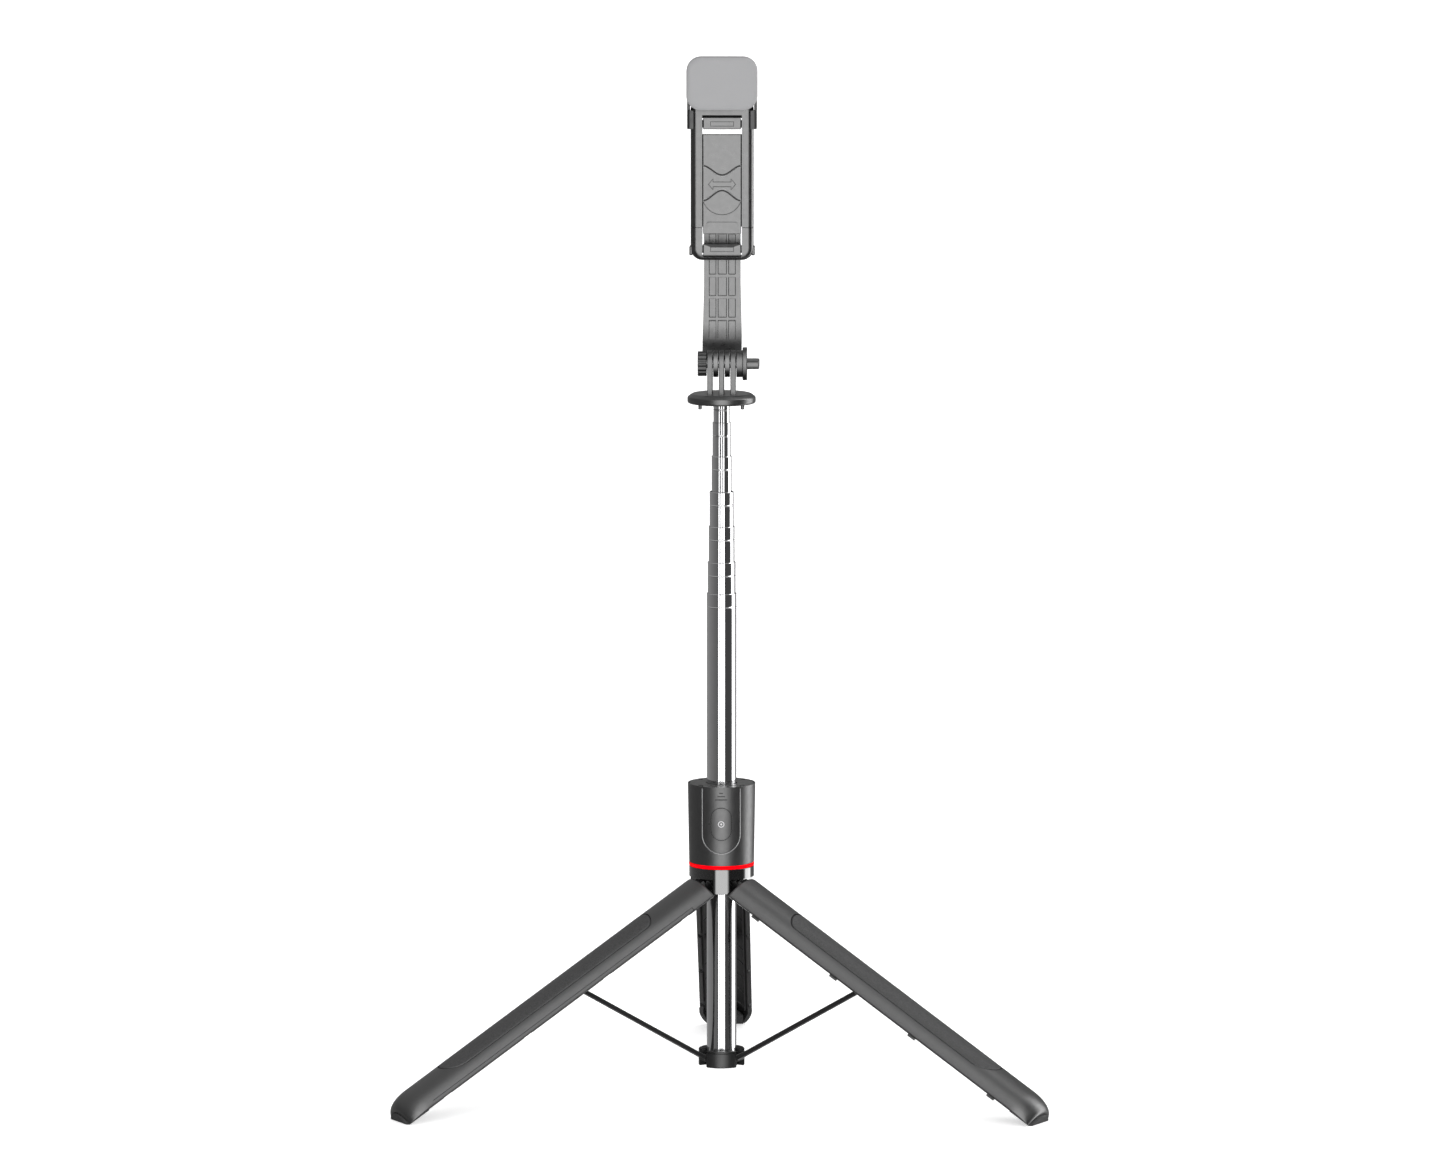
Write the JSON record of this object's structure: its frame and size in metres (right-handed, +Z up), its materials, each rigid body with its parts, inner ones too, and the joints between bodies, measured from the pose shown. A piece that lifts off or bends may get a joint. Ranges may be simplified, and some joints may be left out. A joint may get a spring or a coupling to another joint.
{
  "type": "tripod selfie stick",
  "caption": "Standing selfie stick: folding strut-braced legs, telescopic pole, detachable remote in the handle, tilting arm with a sprung phone clamp and clip-on fill light",
  "frame": {"origin": "centre of the standing object's bounding box, at floor level; the pole's axis is at x = 0, y = -46.04 mm", "axes": "+Z up along the pole; -Y is the front, where the fill light, clamp face and remote button look; +X is the side with the thumb knob"},
  "size_m": [0.3554, 0.312, 0.566],
  "materials": {
    "leg_plastic": "satin moulded dark grey plastic, fine spark-eroded grain",
    "housing_plastic": "satin moulded dark grey plastic",
    "clamp_plastic": "satin grey plastic with darker rounded edges",
    "joint_plastic": "satin near-black moulded plastic",
    "black_plastic": "black moulded plastic, slightly glossy",
    "gloss_hub": "piano-black gloss with sharp reflections",
    "chrome_tube": "bright chrome-plated steel tube, mirror-like along its length",
    "steel_pin": "plain turned steel",
    "red_ring": "saturated red trim",
    "foot_rubber": "dull dark rubber",
    "grip_rubber": "soft-touch insert with a fine leather-like stipple",
    "light_diffuser": "translucent light grey diffuser",
    "light_body": "satin grey plastic",
    "circuit_board": "green solder mask"
  },
  "bodies": {
    "base": {"handle_housing": "housing_plastic", "handle_cap": "housing_plastic", "pole_guide": "black_plastic", "red_ring": "red_ring", "leg_hub": "gloss_hub", "leg_pin_1": "steel_pin", "leg_pin_2": "steel_pin", "leg_pin_3": "steel_pin"},
    "leg_1": {"leg_shell_1": "leg_plastic", "leg_grip_1": "grip_rubber", "leg_liner_1": "black_plastic", "leg_foot_1": "foot_rubber", "strut_pin_1": "steel_pin"},
    "leg_2": {"leg_shell_2": "leg_plastic", "leg_grip_2": "grip_rubber", "leg_liner_2": "black_plastic", "leg_foot_2": "foot_rubber", "strut_pin_2": "steel_pin"},
    "leg_3": {"leg_shell_3": "leg_plastic", "leg_grip_3": "grip_rubber", "leg_liner_3": "black_plastic", "leg_foot_3": "foot_rubber", "strut_pin_3": "steel_pin"},
    "strut_1": {"strut_1": "black_plastic"},
    "strut_2": {"strut_2": "black_plastic"},
    "strut_3": {"strut_3": "black_plastic"},
    "pole_section_1": {"pole_tube_1": "chrome_tube", "pole_collar": "black_plastic"},
    "pole_section_2": {"pole_tube_2": "chrome_tube"},
    "pole_section_3": {"pole_tube_3": "chrome_tube"},
    "pole_section_4": {"pole_tube_4": "chrome_tube"},
    "pole_section_5": {"pole_tube_5": "chrome_tube"},
    "pole_section_6": {"pole_tube_6": "chrome_tube"},
    "pole_head": {"pole_tube_7": "chrome_tube", "head_plate": "joint_plastic", "tilt_nut": "joint_plastic"},
    "knob": {"tilt_knob": "joint_plastic", "tilt_screw": "steel_pin"},
    "arm": {"holder_arm": "clamp_plastic", "swivel_disc": "joint_plastic", "swivel_screw": "steel_pin"},
    "clamp": {"clamp_frame": "clamp_plastic", "clamp_cover": "clamp_plastic", "upper_jaw_pin": "steel_pin", "clamp_spring": "steel_pin"},
    "slider": {"clamp_slider": "clamp_plastic", "lower_jaw_pin": "steel_pin"},
    "upper_jaw": {"upper_jaw": "clamp_plastic"},
    "lower_jaw": {"lower_jaw": "clamp_plastic"},
    "fill_light": {"light_housing": "light_body", "light_diffuser": "light_diffuser", "light_board": "circuit_board", "light_clip": "black_plastic"},
    "light_button": {"light_button": "black_plastic"},
    "remote": {"remote_shell": "housing_plastic", "remote_back": "housing_plastic", "remote_board": "circuit_board", "coin_cell": "steel_pin"},
    "shutter": {"shutter_button": "housing_plastic"}
  },
  "joints": [
    {"name": "leg_1_fold", "type": "hinge", "parent": "base", "child": "leg_1", "pos_m": [0.00918, -0.05134, 0.1135], "axis": [-0.5, -0.866, 0], "range_deg": [-60, 0]},
    {"name": "leg_2_fold", "type": "hinge", "parent": "base", "child": "leg_2", "pos_m": [0, -0.03544, 0.1135], "axis": [1, 0, 0], "range_deg": [-60, 0]},
    {"name": "leg_3_fold", "type": "hinge", "parent": "base", "child": "leg_3", "pos_m": [-0.00918, -0.05134, 0.1135], "axis": [-0.5, 0.866, 0], "range_deg": [-60, 0]},
    {"name": "strut_1_pivot", "type": "hinge", "parent": "leg_1", "child": "strut_1", "pos_m": [0.0808, -0.09269, 0.06575], "axis": [-0.5, -0.866, 0], "range_deg": [0, 121]},
    {"name": "strut_2_pivot", "type": "hinge", "parent": "leg_2", "child": "strut_2", "pos_m": [0, 0.04726, 0.06575], "axis": [1, 0, 0], "range_deg": [0, 121]},
    {"name": "strut_3_pivot", "type": "hinge", "parent": "leg_3", "child": "strut_3", "pos_m": [-0.0808, -0.09269, 0.06575], "axis": [-0.5, 0.866, 0], "range_deg": [0, 121]},
    {"name": "pole_slide", "type": "slide", "parent": "base", "child": "pole_section_1", "axis": [0, 0, 1], "range_m": [-0.0955, 0]},
    {"name": "pole_slide_2", "type": "slide", "parent": "pole_section_1", "child": "pole_section_2", "axis": [0, 0, 1], "range_m": [-0.0163, 0.205]},
    {"name": "pole_slide_3", "type": "slide", "parent": "pole_section_2", "child": "pole_section_3", "axis": [0, 0, 1], "range_m": [-0.0188, 0.205]},
    {"name": "pole_slide_4", "type": "slide", "parent": "pole_section_3", "child": "pole_section_4", "axis": [0, 0, 1], "range_m": [-0.0182, 0.205]},
    {"name": "pole_slide_5", "type": "slide", "parent": "pole_section_4", "child": "pole_section_5", "axis": [0, 0, 1], "range_m": [-0.0187, 0.205]},
    {"name": "pole_slide_6", "type": "slide", "parent": "pole_section_5", "child": "pole_section_6", "axis": [0, 0, 1], "range_m": [-0.0177, 0.205]},
    {"name": "pole_slide_7", "type": "slide", "parent": "pole_section_6", "child": "pole_head", "axis": [0, 0, 1], "range_m": [-0.0098, 0.205]},
    {"name": "knob_turn", "type": "hinge", "parent": "pole_head", "child": "knob", "pos_m": [0, -0.04604, 0.4001], "axis": [1, 0, 0], "continuous": true},
    {"name": "arm_tilt", "type": "hinge", "parent": "pole_head", "child": "arm", "pos_m": [0, -0.04604, 0.4001], "axis": [1, 0, 0], "range_deg": [-45, 180]},
    {"name": "clamp_swivel", "type": "hinge", "parent": "arm", "child": "clamp", "pos_m": [0, -0.02104, 0.4961], "axis": [0, 1, 0], "range_deg": [-90, 90]},
    {"name": "clamp_open", "type": "slide", "parent": "clamp", "child": "slider", "axis": [0, 0, -1], "range_m": [0, 0.03], "stiffness_N_per_m": 150, "springref_m": -0.02, "deforming": ["clamp_spring"]},
    {"name": "upper_jaw_fold", "type": "hinge", "parent": "clamp", "child": "upper_jaw", "pos_m": [0, -0.02474, 0.5316], "axis": [-1, 0, 0], "range_deg": [0, 90]},
    {"name": "lower_jaw_fold", "type": "hinge", "parent": "slider", "child": "lower_jaw", "pos_m": [0, -0.02474, 0.4579], "axis": [1, 0, 0], "range_deg": [0, 90]},
    {"name": "light_lift", "type": "slide", "parent": "clamp", "child": "fill_light", "axis": [0, 0, 1], "range_m": [0, 0.03]},
    {"name": "light_press", "type": "slide", "parent": "fill_light", "child": "light_button", "axis": [0, -1, 0], "range_m": [0, 0.0004], "stiffness_N_per_m": 600, "springref_m": -0.0006},
    {"name": "remote_lift", "type": "slide", "parent": "base", "child": "remote", "axis": [0, 0, 1], "range_m": [0, 0.04]},
    {"name": "shutter_press", "type": "slide", "parent": "remote", "child": "shutter", "axis": [0, 1, 0], "range_m": [0, 0.0005], "stiffness_N_per_m": 600, "springref_m": -0.0006}
  ],
  "couplings": [
    {"joint": "leg_2_fold", "follows": "leg_1_fold", "ratio": 1},
    {"joint": "leg_3_fold", "follows": "leg_1_fold", "ratio": 1},
    {"joint": "strut_1_pivot", "follows": "leg_1_fold", "ratio": -2},
    {"joint": "strut_2_pivot", "follows": "leg_1_fold", "ratio": -2},
    {"joint": "strut_3_pivot", "follows": "leg_1_fold", "ratio": -2},
    {"joint": "pole_slide", "follows": "leg_1_fold", "m_per_rad": 0.09119}
  ]
}
